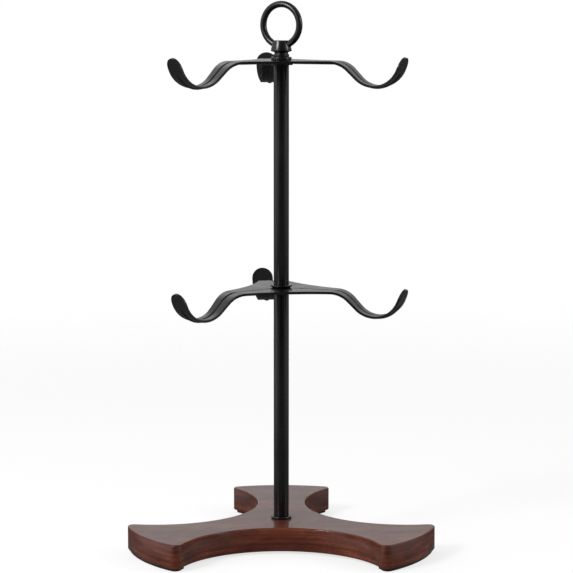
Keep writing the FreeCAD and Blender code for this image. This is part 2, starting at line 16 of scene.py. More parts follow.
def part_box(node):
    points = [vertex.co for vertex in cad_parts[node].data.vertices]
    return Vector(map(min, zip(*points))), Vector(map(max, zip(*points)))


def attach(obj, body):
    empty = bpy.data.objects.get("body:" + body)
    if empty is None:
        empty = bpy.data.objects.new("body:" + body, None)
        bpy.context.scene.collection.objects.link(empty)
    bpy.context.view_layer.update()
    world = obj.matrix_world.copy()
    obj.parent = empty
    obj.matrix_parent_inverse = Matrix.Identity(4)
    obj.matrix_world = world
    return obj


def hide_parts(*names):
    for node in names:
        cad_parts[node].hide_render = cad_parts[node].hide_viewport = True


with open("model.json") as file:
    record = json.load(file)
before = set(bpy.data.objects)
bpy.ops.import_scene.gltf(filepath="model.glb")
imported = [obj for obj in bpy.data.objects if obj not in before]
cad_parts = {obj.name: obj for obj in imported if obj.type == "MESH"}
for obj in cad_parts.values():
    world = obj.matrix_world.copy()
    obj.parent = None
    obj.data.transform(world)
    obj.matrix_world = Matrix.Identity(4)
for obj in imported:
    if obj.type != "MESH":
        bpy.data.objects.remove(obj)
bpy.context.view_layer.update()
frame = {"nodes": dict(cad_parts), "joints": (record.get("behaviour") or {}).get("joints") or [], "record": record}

nodes = frame["nodes"]
MM = 0.001
UP = Vector((0, 0, 1))

# %% [markdown]
# ## Finishes as sums
# A finish is a small network of shader nodes. Written node by node it is long, so one
# class wraps a node's output and turns Python's signs into Math nodes: `1 - worn * 0.3`
# adds two of them. A Math node turns a colour grey, so colours are mixed instead.


# %% An output that takes part in sums
class Signal:
    """One output socket. Sums with it add Math nodes to its tree."""

    def __init__(self, tree, socket):
        self.tree, self.socket = tree, socket

    def math(self, operation, *values, clamp=False):
        node = self.tree.nodes.new("ShaderNodeMath")
        node.operation = operation
        node.use_clamp = clamp
        for place, value in zip(node.inputs, values):
            feed(self.tree, place, value)
        return Signal(self.tree, node.outputs[0])

    def __add__(self, other):
        return self.math("ADD", self, other)

    def __sub__(self, other):
        return self.math("SUBTRACT", self, other)

    def __rsub__(self, other):
        return self.math("SUBTRACT", other, self)

    def __mul__(self, other):
        return self.math("MULTIPLY", self, other)

    __radd__, __rmul__ = __add__, __mul__

    def clamped(self):
        return self.math("ADD", self, 0.0, clamp=True)


def feed(tree, place, value):
    """Links a Signal to a socket, or sets the socket's own value."""
    if isinstance(value, Signal):
        tree.links.new(value.socket, place)
    else:
        place.default_value = value


# %% [markdown]
# ## One method for every other node
# `Finish.add` sets a node's settings first and then feeds its sockets with numbers or
# links. The short methods after it name the few nodes that the finishes here need, so
# that a recipe further down reads like a list of layers. Every pattern is laid in Object
# coordinates, which stay with a piece when its body turns.


# %% A finish built from nodes
class Finish:
    """A material or world whose nodes are added by name."""

    def __init__(self, owner):
        owner.use_nodes = True
        self.owner, self.tree = owner, owner.node_tree
        self.tree.nodes.clear()

    def add(self, kind, settings=None, sockets=None, out=0):
        node = self.tree.nodes.new(kind)
        for key, value in (settings or {}).items():
            if key == "stops":
                ramp = node.color_ramp.elements
                while len(ramp) < len(value):
                    ramp.new(0.5)
                for stop, (place, colour) in zip(ramp, value):
                    stop.position, stop.color = place, (*colour, 1)
            else:
                setattr(node, key, value)
        for key, value in (sockets or {}).items():
            feed(self.tree, node.inputs[key], value)
        return Signal(self.tree, node.outputs[out]) if len(node.outputs) else None

    def place(self, scale=(1, 1, 1), move=None):
        """Object coordinates, moved if asked and then stretched by a scale for each axis."""
        where = self.add("ShaderNodeTexCoord", out="Object")
        if move is not None:
            where = self.add("ShaderNodeVectorMath", {"operation": "ADD"}, {0: where, 1: move})
        return self.add("ShaderNodeMapping", None, {"Vector": where, "Scale": scale})

    def noise(self, vector, scale, detail=2.0, rough=0.5, out="Fac"):
        return self.add("ShaderNodeTexNoise", None, {
            "Vector": vector, "Scale": scale, "Detail": detail, "Roughness": rough}, out)

    def between(self, value, low, high, to_low=0.0, to_high=1.0):
        """Maps a value from one range to another, smoothly and clamped."""
        return self.add("ShaderNodeMapRange", {"interpolation_type": "SMOOTHSTEP"}, {
            "Value": value, "From Min": low, "From Max": high, "To Min": to_low, "To Max": to_high})

    def mix(self, factor, first, second):
        """Mixes two colours."""
        return self.add("ShaderNodeMix", {"data_type": "RGBA"}, {0: factor, 6: first, 7: second}, 2)

    def bump(self, height, distance, strength):
        return self.add("ShaderNodeBump", None, {
            "Height": height, "Distance": distance, "Strength": strength})

    def worn_edges(self):
        """Nearly 1 along outer edges and 0 on flats, from how much the surface bends."""
        bend = self.add("ShaderNodeNewGeometry", out="Pointiness")
        return self.between(bend, 0.53, 0.62)

    def surface(self, sockets):
        shader = self.add("ShaderNodeBsdfPrincipled", None, sockets)
        self.add("ShaderNodeOutputMaterial", None, {"Surface": shader})
        print("finish", self.owner.name, len(self.tree.nodes), "nodes")
        return self.owner


def finish(name):
    return Finish(bpy.data.materials.new(name))


# %% [markdown]
# ## Lacquered wood
# The board is a close-grained hardwood, stained dark red-brown and sprayed with clear
# gloss lacquer. Noise stretched along X gives long fibres that show as streaks on the
# sides and faintly on top; finer noise gives the pores. The clear coat is a layer of its
# own in the shader, so the stain stays dull and deep while the surface mirrors.

# %% Make the wood finish
STAIN = [(0.37, (0.041, 0.0086, 0.0048)), (0.46, (0.078, 0.0172, 0.0088)),
         (0.54, (0.121, 0.0282, 0.0140)), (0.65, (0.235, 0.0680, 0.0340))]
PORE_BROWN, RUBBED_BROWN = (0.020, 0.005, 0.003, 1), (0.17, 0.052, 0.026, 1)
SWAY, HALF_SWAY = (0.05, 0.012, 0.003), (-0.025, -0.006, -0.0015)


def lacquered_wood():
    wood = finish("stained_lacquered_board")
    sway = wood.noise(wood.place(), 6.0, 2.0, out="Color")
    drift = wood.add("ShaderNodeVectorMath", {"operation": "MULTIPLY_ADD"},
                     {0: sway, 1: SWAY, 2: HALF_SWAY})
    figure = wood.noise(wood.place((2.2, 24, 330), drift), 1.0, 3.0, 0.6)
    band = wood.noise(wood.place((3, 55, 90), drift), 1.0, 2.0, 0.5)
    fibre = wood.noise(wood.place((16, 620, 1300), drift), 1.0, 3.0, 0.6)
    pore = wood.noise(wood.place((90, 2600, 2600), drift), 1.0, 1.0)
    tone = figure * 0.45 + band * 0.30 + fibre * 0.25
    stain = wood.add("ShaderNodeValToRGB", {"stops": STAIN}, {"Fac": tone})
    specks = wood.between(pore, 0.60, 0.68)
    stain = wood.mix(specks * 0.45, stain, PORE_BROWN)
    edge = wood.worn_edges()
    stain = wood.mix(edge * 0.35, stain, RUBBED_BROWN)
    haze = wood.noise(wood.place(), 55.0, 3.0)
    relief = fibre * 0.5 + specks * -0.9 + wood.noise(wood.place(), 160.0, 1.0) * 2.2
    return wood.surface({
        "Base Color": stain,
        "Roughness": wood.between(haze, 0.3, 0.7, 0.36, 0.48) + edge * 0.05,
        "Specular IOR Level": 0.12,
        "Coat Weight": 0.92 + haze * 0.08 - edge * 0.15, "Coat Roughness": 0.11, "Coat IOR": 1.35,
        "Normal": wood.bump(relief, 0.00003, 0.6)})


FINISHES = {"lacquered_wood": lacquered_wood()}

# %% [markdown]
# ## Black powder coat
# Post, tiers, finial and ring are steel under a baked powder coat: nearly black, half
# glossy, with the faint orange-peel skin that powder leaves and slightly polished,
# slightly greyer edges. A broad noise varies the gloss, a fine one lifts the skin.

# %% Make the black finish
DEEP_BLACK, SOFT_BLACK = (0.0045, 0.0045, 0.0048, 1), (0.0068, 0.0068, 0.0070, 1)
GRIT_GREY, RUBBED_GREY = (0.014, 0.014, 0.014, 1), (0.022, 0.022, 0.023, 1)


def black_coat():
    coat = finish("black_powder_coat")
    cloud = coat.noise(coat.place(), 38.0, 3.0)
    peel = coat.noise(coat.place(), 620.0, 2.0, 0.45)
    grit = coat.noise(coat.place(), 3400.0, 1.0)
    edge = coat.worn_edges()
    tint = coat.mix(coat.between(cloud, 0.3, 0.7), DEEP_BLACK, SOFT_BLACK)
    tint = coat.mix(coat.between(grit, 0.62, 0.72) * 0.35, tint, GRIT_GREY)
    tint = coat.mix(edge * 0.5, tint, RUBBED_GREY)
    return coat.surface({
        "Base Color": tint,
        "Roughness": coat.between(cloud, 0.3, 0.7, 0.20, 0.27) + grit * 0.03 - edge * 0.04,
        "Specular IOR Level": 0.5,
        "Normal": coat.bump(peel + grit * 0.2, 0.00003, 0.4)})


FINISHES["black_coat"] = black_coat()

# %% [markdown]
# ## Zinc and rubber
# The bolt, its washer and the screws inside the tubes are bright zinc-plated steel with
# the faint cloudiness of plating. The foot pads are dull black rubber with a fine
# pebbled skin that grips the worktop.


# %% Make the zinc and rubber finishes
def zinc_steel():
    zinc = finish("bright_zinc_plate")
    cloud = zinc.noise(zinc.place(), 240.0, 4.0, 0.6)
    lines = zinc.noise(zinc.place((60, 60, 4200)), 1.0, 2.0)
    tint = zinc.mix(cloud, (0.40, 0.41, 0.42, 1), (0.62, 0.63, 0.64, 1))
    return zinc.surface({
        "Base Color": tint, "Metallic": 1.0,
        "Roughness": zinc.between(cloud, 0.3, 0.7, 0.24, 0.42) + lines * 0.05,
        "Normal": zinc.bump(lines + cloud, 0.00002, 0.4)})


def pad_rubber():
    pad = finish("pebbled_pad_rubber")
    pebble = pad.add("ShaderNodeTexVoronoi", None, {"Vector": pad.place(), "Scale": 950.0},
                     "Distance")
    dust = pad.noise(pad.place(), 70.0, 3.0)
    tint = pad.mix(pad.between(dust, 0.4, 0.7), (0.012, 0.012, 0.012, 1), (0.024, 0.023, 0.022, 1))
    return pad.surface({
        "Base Color": tint, "Roughness": 0.7 + dust * 0.2,
        "Normal": pad.bump(pebble, 0.0002, 0.6)})


FINISHES["zinc_steel"], FINISHES["foot_rubber"] = zinc_steel(), pad_rubber()

# %% [markdown]
# ## From bmesh to piece
# Each new piece stands for one CAD node, takes that node's finish and rides on its body.
# Its points are already in place, so its object stays at the origin, where the joints
# expect it. Level faces are shaded flat and everything else smooth, so that rounded
# edges catch the light while flats stay even.

# %% Piece helpers
SLOT_OF = {part["node"]: part["material_slot"] for part in frame["record"]["subparts"]}
BODY_OF = {node: body for body, members in frame["record"]["behaviour"]["bodies"].items()
           for node in members}


def heights(node):
    """Lowest and highest level of a CAD node, in millimetres."""
    bottom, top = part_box(node)
    return bottom.z / MM, top.z / MM


def tidy_mesh(bm):
    """Merges doubled points and then turns every face outward."""
    bmesh.ops.remove_doubles(bm, verts=bm.verts, dist=1e-7)
    bmesh.ops.recalc_face_normals(bm, faces=bm.faces)


def sharp_edges(bm, degrees):
    """Edges where two faces meet at more than the given angle."""
    return [e for e in bm.edges if e.is_manifold and e.calc_face_angle() > math.radians(degrees)]


def round_edges(bm, edges, reach, segments=3):
    """Rounds the given edges with a small arc."""
    bmesh.ops.bevel(bm, geom=list(edges), offset=reach, offset_type="OFFSET", segments=segments,
                    profile=0.5, affect="EDGES", material=-1, clamp_overlap=True)


def make_piece(bm, name, node, flat_sides=False):
    """Finishes a bmesh as the piece that stands for a CAD node."""
    for face in bm.faces:
        face.normal_update()
        level = abs(face.normal.z) > 0.99999
        face.smooth = not (level or (flat_sides and face.calc_area() > 4 * MM ** 2))
    mesh = bpy.data.meshes.new(name)
    bm.to_mesh(mesh)
    bm.free()
    mesh.materials.append(FINISHES[SLOT_OF[node]])
    piece = bpy.data.objects.new(name, mesh)
    bpy.context.scene.collection.objects.link(piece)
    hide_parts(node)
    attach(piece, BODY_OF[node])
    mesh.calc_loop_triangles()
    print("piece %-16s %6d triangles, rides on %s" % (
        name, len(mesh.loop_triangles), BODY_OF[node]))


# %% [markdown]
# ## The board
# A disc of 19 mm board with three round bays cut out, leaving three legs. The outline is
# drawn as a saw and a router would leave it: one point is spun about the centre, about
# a small corner circle, about the bay's centre, and so on round. Spinning a point keeps
# every arc a true circle, which a hand-drawn curve would not be.

# %% Draw the board's outline
REACH, BAY, BAY_OUT, LEG_CORNER = 123.5, 80.2, 115.0, 5.0
LEGS, LEG_TO_BAY = (90, 210, 330), 60
TIP_STEPS, CORNER_STEPS, BAY_STEPS = 8, 10, 44


def spin_point(bm, point, centre, degrees, steps):
    """Drags one point round a centre and returns where it ends."""
    swept = bmesh.ops.spin(bm, geom=[point], cent=centre, axis=UP, angle=math.radians(degrees),
                           steps=steps, use_merge=False)
    return [g for g in swept["geom_last"] if isinstance(g, bmesh.types.BMVert)][0]


def corner_circle():
    """Centre of the circle that rounds a leg's corner, beside a bay that lies along +X."""
    from_axis, from_bay = REACH - LEG_CORNER, BAY + LEG_CORNER
    out = (BAY_OUT ** 2 + from_axis ** 2 - from_bay ** 2) / (2 * BAY_OUT)
    return Vector((out, -math.sqrt(from_axis ** 2 - out ** 2), 0))


def board_outline(bm, height):
    tip = corner_circle()
    tip_way = math.degrees(math.atan2(tip.y, tip.x))
    bay_way = math.degrees(math.atan2(-tip.y, BAY_OUT - tip.x))
    first = Matrix.Rotation(math.radians(LEGS[0]), 3, "Z") @ Vector((REACH, 0, height))
    point = bm.verts.new(first * MM)
    for leg in LEGS:
        turn = Matrix.Rotation(math.radians(leg + LEG_TO_BAY), 3, "Z")
        near, far = turn @ tip * MM, turn @ Vector((tip.x, -tip.y, 0)) * MM
        centre = turn @ Vector((BAY_OUT, 0, 0)) * MM
        point = spin_point(bm, point, (0, 0, 0), LEG_TO_BAY + tip_way, TIP_STEPS)
        point = spin_point(bm, point, near, bay_way - tip_way, CORNER_STEPS)
        point = spin_point(bm, point, centre, -2 * bay_way, BAY_STEPS)
        point = spin_point(bm, point, far, bay_way - tip_way, CORNER_STEPS)
        point = spin_point(bm, point, (0, 0, 0), LEG_TO_BAY + tip_way, TIP_STEPS)
    bmesh.ops.remove_doubles(bm, verts=bm.verts, dist=1e-6)
    return list(bm.edges)


board_low, board_top = heights("base_board")
bm = bmesh.new()
outline = board_outline(bm, board_low)
print("outline of %d edges, board from %.1f to %.1f mm" % (len(outline), board_low, board_top))

# %% [markdown]
# The outline is filled and pushed up to the board's thickness. Its rims are rounded over
# before any hole is made, because a bevel works best on two plain loops. The recess for
# the bolt then grows from a circle: up, inward and up again, and each cap is filled
# round its ring.


# %% Helpers that work on one level
def rim_at(bm, height):
    """Edges between a level face at one height and the sides."""
    return [e for e in sharp_edges(bm, 60) if all(abs(v.co.z - height) < 1e-6 for v in e.verts)]


def cap_with_hole(bm, height, hole):
    """Opens the level cap at one height round a hole's ring of edges."""
    caps = [f for f in bm.faces
            if abs(f.calc_center_median().z - height) < 1e-6 and abs(f.normal.z) > 0.99]
    cap = max(caps, key=lambda f: f.calc_area())
    border = list(cap.edges)
    bmesh.ops.delete(bm, geom=[cap], context="FACES_ONLY")
    bmesh.ops.triangle_fill(bm, edges=border + hole, use_beauty=True, normal=UP)


def grow_edges(bm, ring, lift=0.0, scale=1.0):
    """Extrudes a ring of edges, lifts and scales it, and returns the new ring."""
    grown = bmesh.ops.extrude_edge_only(bm, edges=ring)["geom"]
    spots = [g for g in grown if isinstance(g, bmesh.types.BMVert)]
    bmesh.ops.scale(bm, vec=(scale, scale, 1), verts=spots)
    bmesh.ops.translate(bm, vec=(0, 0, lift), verts=spots)
    return [g for g in grown if isinstance(g, bmesh.types.BMEdge)]


# %% Build the board
ROUND_OVER, RECESS, RECESS_DEEP, BOLT_HOLE = 1.2, 11.0, 7.0, 3.3
base_face = bmesh.ops.contextual_create(bm, geom=outline)["faces"]
raised = bmesh.ops.extrude_face_region(bm, geom=base_face, use_keep_orig=True)["geom"]
bmesh.ops.translate(bm, vec=(0, 0, (board_top - board_low) * MM),
                    verts=[g for g in raised if isinstance(g, bmesh.types.BMVert)])
tidy_mesh(bm)
round_edges(bm, rim_at(bm, board_low * MM) + rim_at(bm, board_top * MM), ROUND_OVER * MM, 4)
circle = bmesh.ops.create_circle(bm, segments=64, radius=RECESS * MM,
                                 matrix=Matrix.Translation((0, 0, board_low * MM)))["verts"]
mouth = list({e for v in circle for e in v.link_edges})
roof = grow_edges(bm, mouth, lift=RECESS_DEEP * MM)
hole = grow_edges(bm, roof, scale=BOLT_HOLE / RECESS)
top_hole = grow_edges(bm, hole, lift=(board_top - board_low - RECESS_DEEP) * MM)
cap_with_hole(bm, board_low * MM, mouth)
cap_with_hole(bm, board_top * MM, top_hole)
tidy_mesh(bm)
make_piece(bm, "board", "base_board")

# %% [markdown]
# ## Turned pieces
# Post, collar, flanges, washers and finial come off a lathe, so each is a half section
# spun about the post's axis. The corners are then rounded by a few tenths of a
# millimetre, as a coat of powder leaves them.


# %% Lathe helper
def turned(name, node, section, edge, closed=True, steps=96):
    """Spins a half section of (radius, height) in millimetres and rounds its corners."""
    bm = bmesh.new()
    spots = [bm.verts.new((r * MM, 0, z * MM)) for r, z in section]
    pairs = list(zip(spots, spots[1:])) + ([(spots[-1], spots[0])] if closed else [])
    lines = [bm.edges.new(pair) for pair in pairs]
    bmesh.ops.spin(bm, geom=spots + lines, cent=(0, 0, 0), axis=UP, angle=math.tau,
                   steps=steps, use_merge=True)
    tidy_mesh(bm)
    round_edges(bm, sharp_edges(bm, 30), edge * MM)
    make_piece(bm, name, node)


def sleeve(bore, radius, foot, head):
    """Half section of a plain ring, washer or tube."""
    return [(bore, foot), (radius, foot), (radius, head), (bore, head)]


# %% [markdown]
# The post is two lengths of 12 mm tube. A plug pressed into the lower one ends in a rim
# that the eye sees as a thin ring, and in the spigot that the lower tier turns on. The
# collar hides the joint between tube and board.

# %% Turn the post
TUBE, TUBE_BORE, COLLAR = 6.0, 4.8, 8.1
PLUG, RIM_TALL, SPIGOT, TAPPED, TAPPED_DEEP = 4.78, 1, 4.5, 3.02, 20
for name in ("lower_tube", "upper_tube"):
    turned(name, name, sleeve(TUBE_BORE, TUBE, *heights(name)), 0.25, steps=128)
turned("base_collar", "base_collar", sleeve(BOLT_HOLE, COLLAR, *heights("base_collar")), 0.5)
foot, head = heights("lower_tube_top_plug")
rim = heights("lower_tube")[1]
turned("post_joint_plug", "lower_tube_top_plug", [
    (0, foot), (PLUG, foot), (PLUG, rim), (TUBE, rim), (TUBE, rim + RIM_TALL),
    (SPIGOT, rim + RIM_TALL), (SPIGOT, head), (TAPPED, head), (TAPPED, head - TAPPED_DEEP),
    (0, head - TAPPED_DEEP)], 0.2, closed=False)

# %% [markdown]
# The flange on each tier is a thin collar. The lower one's underside tapers in, so its
# rim stands clear of the plate and casts a dark line. The upper tier also has a plain
# washer below.

# %% Turn the flanges and washers
FLANGE_FOOT, FLANGE, FLANGE_RIM, UPPER_FLANGE = 6.9, 8.75, 1.0, 8.0
PIVOT_HOLE, WASHER = 4.55, 9.0
foot, head = heights("lower_tier_flange")
turned("lower_flange", "lower_tier_flange", [
    (BOLT_HOLE, foot), (FLANGE_FOOT, foot), (FLANGE, head - FLANGE_RIM), (FLANGE, head),
    (BOLT_HOLE, head)], 0.25)
turned("upper_flange", "upper_tier_flange",
       sleeve(BOLT_HOLE, UPPER_FLANGE, *heights("upper_tier_flange")), 0.45)
turned("upper_washer", "upper_tier_washer",
       sleeve(PIVOT_HOLE, WASHER, *heights("upper_tier_washer")), 0.35)

# %% [markdown]
# ## The finial and its ring
# The finial is one turned piece: a threaded stem, a round foot, a narrow neck and a cone
# that narrows to a flat top. The ring is round wire bent to a circle; its two ends
# disappear into the cone. It is made by dragging a circle round the ring's own axis.

# %% Turn the finial
STEM, KNOB, NECK, CONE, CONE_TOP = 3.0, 6.1, 5.3, 8.1, 6.7
KNOB_UP, NECK_UP, CONE_UP, LIP_UP, TOP_UP = 2.2, 3.5, 4.5, 5.2, 12.7
stem_low = heights("finial")[0]
knob = heights("upper_tier_flange")[1]
turned("finial", "finial", [
    (0, stem_low), (STEM, stem_low), (STEM, knob), (KNOB, knob), (KNOB, knob + KNOB_UP),
    (NECK, knob + KNOB_UP), (NECK, knob + NECK_UP), (CONE, knob + CONE_UP), (CONE, knob + LIP_UP),
    (CONE_TOP, knob + TOP_UP), (0, knob + TOP_UP)], 0.28, closed=False, steps=128)

# %% Bend the ring
RING, WIRE, GAP, RING_TURN, RING_LIFT = 16.05, 2.55, 14.0, -30.0, 12.0
bm = bmesh.new()
wire_end = (Matrix.Rotation(math.radians(90 + GAP / 2), 4, "Y")
            @ Matrix.Translation((RING * MM, 0, 0)))
bmesh.ops.create_circle(bm, segments=32, radius=WIRE * MM, cap_ends=True, matrix=wire_end)
bmesh.ops.spin(bm, geom=bm.verts[:] + bm.edges[:] + bm.faces[:], cent=(0, 0, 0), axis=(0, 1, 0),
               angle=math.radians(360 - GAP), steps=144, use_merge=False)
tidy_mesh(bm)
bmesh.ops.rotate(bm, cent=(0, 0, 0), verts=bm.verts,
                 matrix=Matrix.Rotation(math.radians(RING_TURN), 3, "Z"))
bmesh.ops.translate(bm, vec=(0, 0, (knob + TOP_UP + RING_LIFT) * MM), verts=bm.verts)
make_piece(bm, "finger_ring", "finial_ring")

# %% [markdown]
# ## A tier of three hooks
# Each tier is pressed from 2 mm sheet: three arms joined by round webs, a groove pressed
# along each arm to stiffen it, the arms bent down and then up into hooks with rounded
# tips. Seen from the side an arm is straight runs and arcs, so its course is a list of
# lengths and turns, and any point of the sheet is found by how far along it lies.

# %% How an arm runs
SHEET, LEVEL, BEND, SLOPE, HOOK, TIP = 2.0, 44.1, 20.0, 9.0, 21.2, 10.0
DOWN, RISE = math.radians(44.5), math.radians(67.5)
RUNS = [(LEVEL, 0), (BEND * DOWN, -DOWN), (SLOPE, 0), (HOOK * (DOWN + RISE), DOWN + RISE), (TIP, 0)]


def course(run):
    """Place and heading of an arm's middle after a run along the sheet: out, up, heading."""
    out = up = heading = 0.0
    for length, turn in RUNS:
        part = max(0.0, min(run, length))
        run -= part
        if turn:
            radius, after = length / turn, heading + turn * part / length
            out += radius * (math.sin(after) - math.sin(heading))
            up += radius * (math.cos(heading) - math.cos(after))
            heading = after
        else:
            out += part * math.cos(heading)
            up += part * math.sin(heading)
    return out, up, heading


TIP_RUN = sum(length for length, _ in RUNS[:4])
print("an arm reaches %.1f mm and ends %.1f mm above its plate" % course(TIP_RUN + TIP)[:2])

# %% [markdown]
# From above, an arm's edge is first the round web that it shares with its neighbour,
# then a straight side that widens a little into the hook, and at last the half circle of
# the tip. One function gives that half width at any run.

# %% How wide an arm is
PIVOT, WEB, ARM_HALF, TIP_HALF, FLARE = PIVOT_HOLE, 28.0, 7.0, 8.5, 16.0
ARM_TO_WEB = math.radians(60)
WEB_CENTRE = (WEB - ARM_HALF) / (1 - math.sin(ARM_TO_WEB))
WEB_ROUND = WEB_CENTRE - WEB
TIP_OUT = course(TIP_RUN)[0]


def ease(value):
    """Runs from 0 to 1 with a soft start and end."""
    value = max(0.0, min(1.0, value))
    return value * value * (3 - 2 * value)


def half_width(run):
    """Half the arm's width after a run along the sheet."""
    out = course(run)[0]
    past = run - TIP_RUN - (TIP - TIP_HALF)
    if past > 0:
        return math.sqrt(max(0.0, TIP_HALF ** 2 - past ** 2))
    if out < WEB_CENTRE / 2:
        rise = math.sqrt(WEB_ROUND ** 2 - (WEB_CENTRE / 2 - out) ** 2)
        return WEB_CENTRE * math.sin(ARM_TO_WEB) - rise
    return ARM_HALF + (TIP_HALF - ARM_HALF) * ease((out - TIP_OUT + FLARE) / FLARE)


print("webs of radius %.1f mm, tips %.1f mm wide" % (WEB_ROUND, 2 * TIP_HALF))

# %% [markdown]
# One half of one arm is a grid of faces. Rows run across the arm and stand closer
# together where it bends; columns run along it and stand closer together beside the
# middle, where the groove is pressed in.

# %% Space the rows and columns
HUB_ROWS, HUB_RUN = 8, WEB / 2
NEAR_COLUMNS, COLUMNS = [0, 0.28, 0.56, 0.84, 1.12, 1.4, 2.0], 12
NARROW, EDGE_STRIP = 4.0, 0.9
ROWS = [PIVOT + (HUB_RUN - PIVOT) * i / HUB_ROWS for i in range(HUB_ROWS + 1)]
for length, count in ((LEVEL - HUB_RUN, 12), (BEND * DOWN, 14), (SLOPE, 5),
                      (HOOK * (DOWN + RISE), 36), (TIP - TIP_HALF, 2)):
    start = ROWS[-1]
    ROWS += [start + length * (i + 1) / count for i in range(count)]
ROWS += [ROWS[-1] + TIP_HALF * math.sin(math.radians(9 * (i + 1))) for i in range(10)]


def across(column, width):
    """Distance of a column of the grid from the arm's middle."""
    squeeze = min(1.0, width / NARROW)
    if column < len(NEAR_COLUMNS):
        return NEAR_COLUMNS[column] * squeeze
    if column == COLUMNS:
        return width
    first, last = NEAR_COLUMNS[-1] * squeeze, width - EDGE_STRIP * squeeze
    share = (column - len(NEAR_COLUMNS) + 1) / (COLUMNS - len(NEAR_COLUMNS))
    return first + (last - first) * share


print("grid of", len(ROWS), "rows and", COLUMNS + 1, "columns for half an arm")

# %% [markdown]
# Near the post the rows fan out round the pivot hole, so that the three arms meet edge
# to edge. Further out each point lies on the bent sheet, half a thickness above its
# middle and a little lower inside the groove.

# %% Lay a point of the grid on the arm
GROOVE_DEEP, GROOVE_HALF, GROOVE_START = 0.8, 1.4, 10.5
GROOVE_LEAD, GROOVE_RAMP, GROOVE_FADE, GROOVE_CLIMB = 1.2, 1.4, 1.6, math.radians(55)
GROOVE_END = sum(length for length, _ in RUNS[:3]) + HOOK * (DOWN + GROOVE_CLIMB)
WEB_WAY = Vector((math.cos(ARM_TO_WEB), math.sin(ARM_TO_WEB)))


def in_hub(row, column):
    """A point of the fan round the pivot hole, between the arm's middle and the web's."""
    part = row / HUB_ROWS
    start, end = Vector((ROWS[row], 0)), WEB_WAY * (PIVOT + (WEB - PIVOT) * part)
    width = (end - start).length
    share = across(column, width) / width
    on_hole = Vector((math.cos(ARM_TO_WEB * share), math.sin(ARM_TO_WEB * share))) * PIVOT
    on_chord = Vector((PIVOT, 0)).lerp(WEB_WAY * PIVOT, share)
    return start.lerp(end, share) + (on_hole - on_chord) * (1 - part)


def on_arm(row, column):
    """Where one point of the grid lies on the upper face of an arm along +X."""
    run = ROWS[row]
    out, up, heading = course(run)
    if row <= HUB_ROWS:
        spot = in_hub(row, column)
    else:
        spot = Vector((out, across(column, half_width(run))))
    groove = math.cos(min(1.0, spot.y / GROOVE_HALF) * math.pi / 2) ** 2
    groove *= ease((run - GROOVE_START + GROOVE_LEAD) / GROOVE_RAMP)
    groove *= 1 - ease((run - GROOVE_END) / GROOVE_FADE)
    lift = SHEET / 2 - GROOVE_DEEP * groove
    return Vector((spot.x - lift * math.sin(heading), spot.y, up + lift * math.cos(heading))) * MM


print("groove from %.1f to %.1f mm along an arm" % (GROOVE_START, GROOVE_END))

# %% [markdown]
# Mirrored, the grid becomes a whole arm, and spun twice by a third of a turn it becomes
# the tier. Doubles are merged and the faces turned upward first, because solidify lays
# the sheet's thickness on the side that its faces look away from. The rims are rounded
# last, when there are two of them.

# %% Press and bend the tiers
MIDDLE = {joint["child"].replace("arms", "tier"): joint["pos_m"][2] for joint in frame["joints"]}


def tier(name, node, turn):
    bm = bmesh.new()
    rows = len(ROWS) - 1
    bmesh.ops.create_grid(bm, x_segments=rows, y_segments=COLUMNS, size=0.5)
    for vert in bm.verts:
        vert.co = on_arm(round((vert.co.x + 0.5) * rows), round((vert.co.y + 0.5) * COLUMNS))
    bmesh.ops.mirror(bm, geom=bm.verts[:] + bm.edges[:] + bm.faces[:], matrix=Matrix(),
                     merge_dist=1e-6, axis="Y")
    bmesh.ops.spin(bm, geom=bm.verts[:] + bm.edges[:] + bm.faces[:], cent=(0, 0, 0), axis=UP,
                   angle=math.radians(240), steps=2, use_duplicate=True)
    bmesh.ops.remove_doubles(bm, verts=bm.verts, dist=2e-6)
    bmesh.ops.dissolve_degenerate(bm, dist=1e-6, edges=bm.edges)
    bmesh.ops.recalc_face_normals(bm, faces=bm.faces)
    bm.normal_update()
    hub = min(bm.faces, key=lambda f: f.calc_center_median().xy.length)
    if hub.normal.z < 0:
        bmesh.ops.reverse_faces(bm, faces=bm.faces)
    bmesh.ops.solidify(bm, geom=bm.faces[:], thickness=SHEET * MM)
    tidy_mesh(bm)
    round_edges(bm, sharp_edges(bm, 60), 0.5 * MM)
    bmesh.ops.rotate(bm, cent=(0, 0, 0), verts=bm.verts,
                     matrix=Matrix.Rotation(math.radians(90 + turn), 3, "Z"))
    bmesh.ops.translate(bm, vec=(0, 0, MIDDLE[node]), verts=bm.verts)
    levels = [v.co.z / MM for v in bm.verts]
    print("%s from %.2f to %.2f mm, in CAD from %.2f to %.2f" % (
        name, min(levels), max(levels), *heights(node)))
    make_piece(bm, name, node)


tier("lower_hooks", "lower_tier", 9.0)
tier("upper_hooks", "upper_tier", 6.9)

# %% [markdown]
# ## What holds it together
# Under the board a hexagon-headed bolt and a washer pull the post down. The head is a
# six-sided cylinder with its lower rim and its corners taken off, the shank a round one
# that stands on it.

